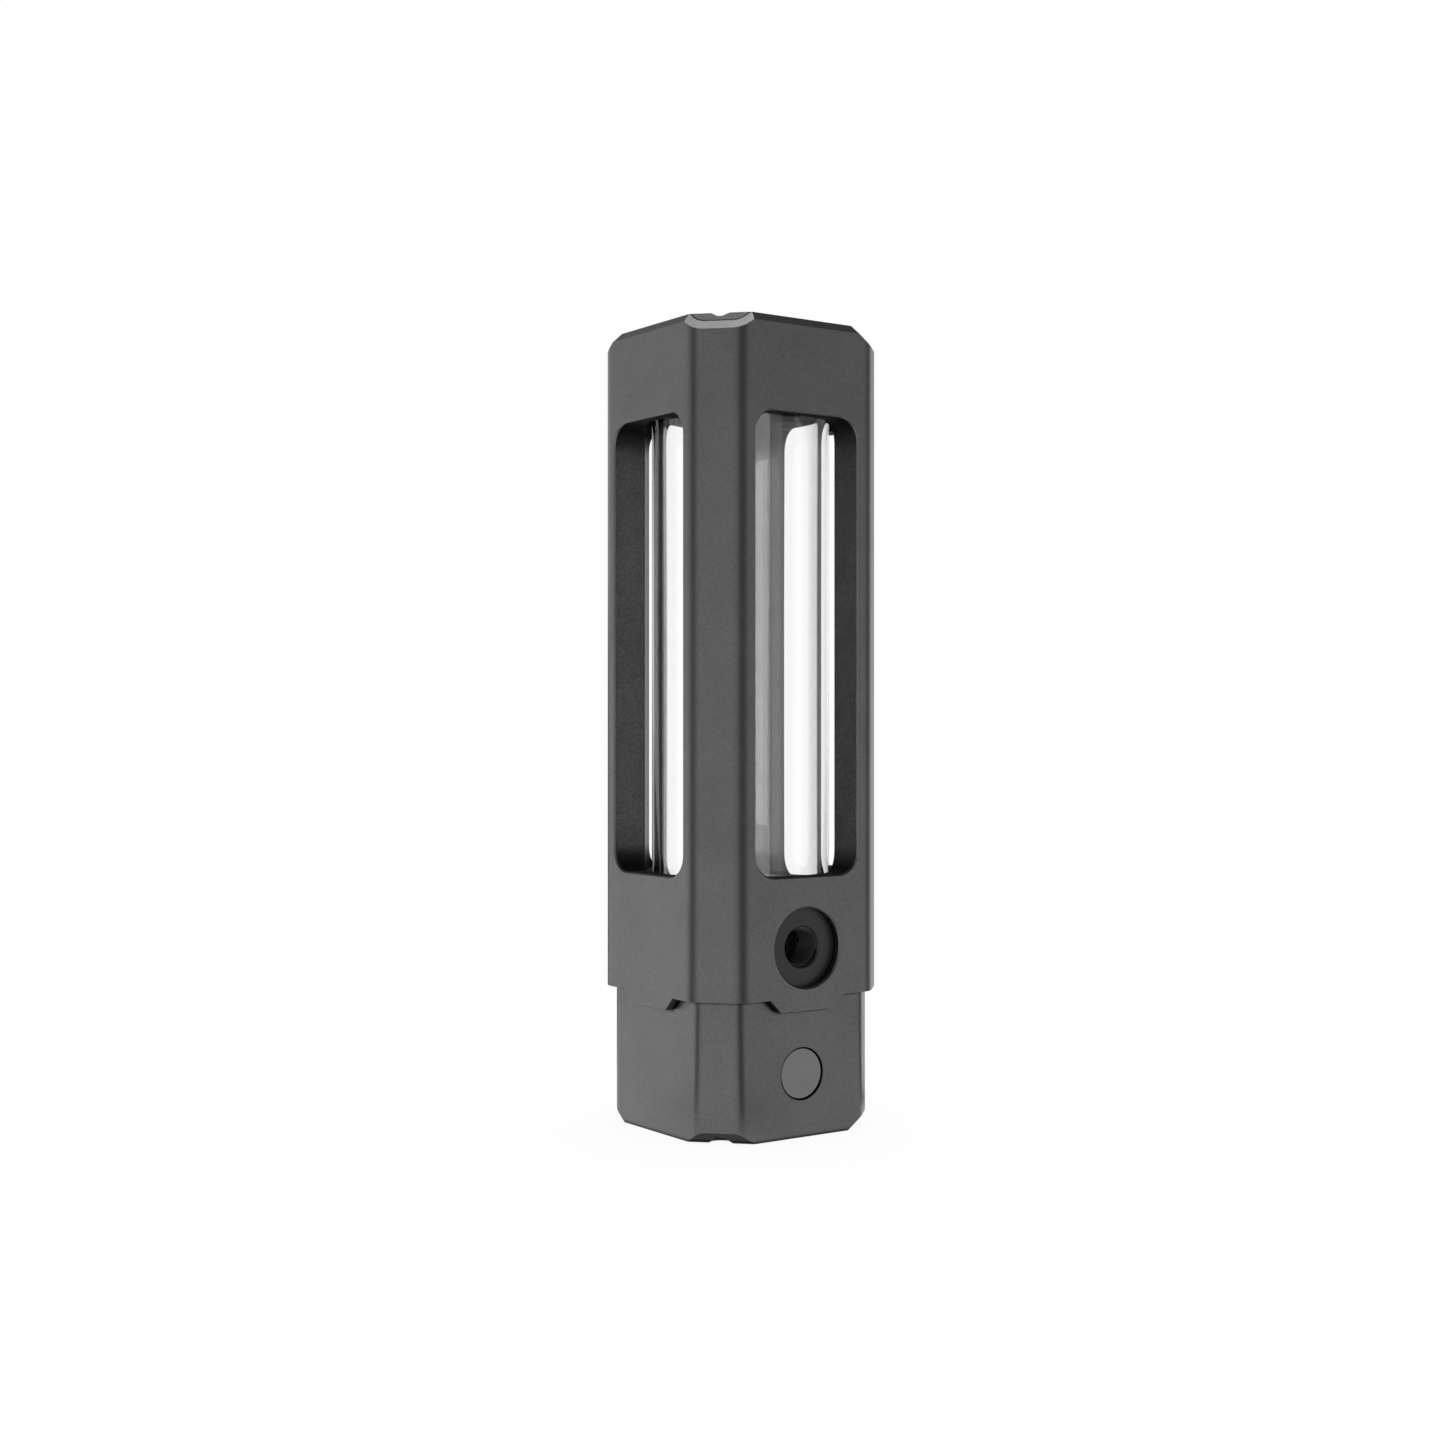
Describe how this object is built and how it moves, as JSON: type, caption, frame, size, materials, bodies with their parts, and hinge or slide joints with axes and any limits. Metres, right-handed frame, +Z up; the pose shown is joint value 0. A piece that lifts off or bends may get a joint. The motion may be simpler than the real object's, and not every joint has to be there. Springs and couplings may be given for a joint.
{
  "type": "coolant pump reservoir",
  "caption": "Coolant pump under a clear glass reservoir tube, in a square metal sleeve with tall windows, a threaded side port and two threaded top ports.",
  "frame": {"origin": "centre of the base, on the surface that it stands on", "axes": "+Z up along the reservoir tube, -Y out of the face with the side port"},
  "size_m": [0.075, 0.075, 0.2655],
  "materials": {
    "anodised": "bead blasted and anodised dark grey",
    "black_plastic": "machined black acetal",
    "seal_rubber": "matt black rubber",
    "tube_glass": "clear polished borosilicate glass",
    "badge_face": "polished dark grey disc, bare",
    "screw_steel": "black oxide cap screws",
    "motor_plastic": "moulded glass filled plastic",
    "stainless": "deep drawn stainless steel",
    "ceramic_white": "polished ceramic",
    "carbon_cup": "carbon bearing cup",
    "laminated_iron": "stacked laminations",
    "copper_wire": "enamelled copper wire",
    "board_green": "coated circuit board",
    "component_black": "moulded components",
    "rotor_plastic": "moulded impeller",
    "magnet_ferrite": "ferrite magnet",
    "dial_red": "moulded red dial",
    "plug_black": "black plated brass plug"
  },
  "bodies": {
    "housing": {"armour_sleeve": "anodised", "top_plate": "black_plastic", "lower_cover": "anodised", "top_cap": "black_plastic", "pump_top": "black_plastic", "tube_seal_upper": "seal_rubber", "tube_seal_lower": "seal_rubber", "pump_seal": "seal_rubber", "cable_gland": "seal_rubber", "glass_tube": "tube_glass", "badge_disc": "badge_face", "top_screws": "screw_steel", "base_screws": "screw_steel", "motor_housing": "motor_plastic", "rear_cover": "motor_plastic", "separator_can": "stainless", "bearing_post": "stainless", "bearing_ball": "ceramic_white", "stator_core": "laminated_iron", "stator_coils": "copper_wire", "circuit_board": "board_green", "board_components": "component_black"},
    "rotor": {"impeller": "rotor_plastic", "rotor_magnet": "magnet_ferrite", "bearing_cup": "carbon_cup"},
    "dial": {"speed_dial": "dial_red"},
    "plug_seal": {"fill_plug_seal": "seal_rubber"},
    "plug": {"fill_plug": "plug_black"}
  },
  "joints": [
    {"name": "rotor_spin", "type": "hinge", "parent": "housing", "child": "rotor", "pos_m": [0, 0, 0.0475], "axis": [0, 0, 1], "continuous": true},
    {"name": "speed_dial_turn", "type": "hinge", "parent": "housing", "child": "dial", "pos_m": [0, -0.013, 0.01], "axis": [0, 0, 1], "range_deg": [-135, 135]},
    {"name": "plug_lift", "type": "slide", "parent": "housing", "child": "plug_seal", "axis": [0, 0, 1], "range_m": [0, 0.0121]},
    {"name": "plug_turn", "type": "hinge", "parent": "plug_seal", "child": "plug", "pos_m": [0.014, 0, 0.2595], "axis": [0, 0, 1], "range_deg": [0, 3240]}
  ],
  "couplings": [
    {"joint": "plug_lift", "follows": "plug_turn", "m_per_rad": 0.00021279}
  ]
}
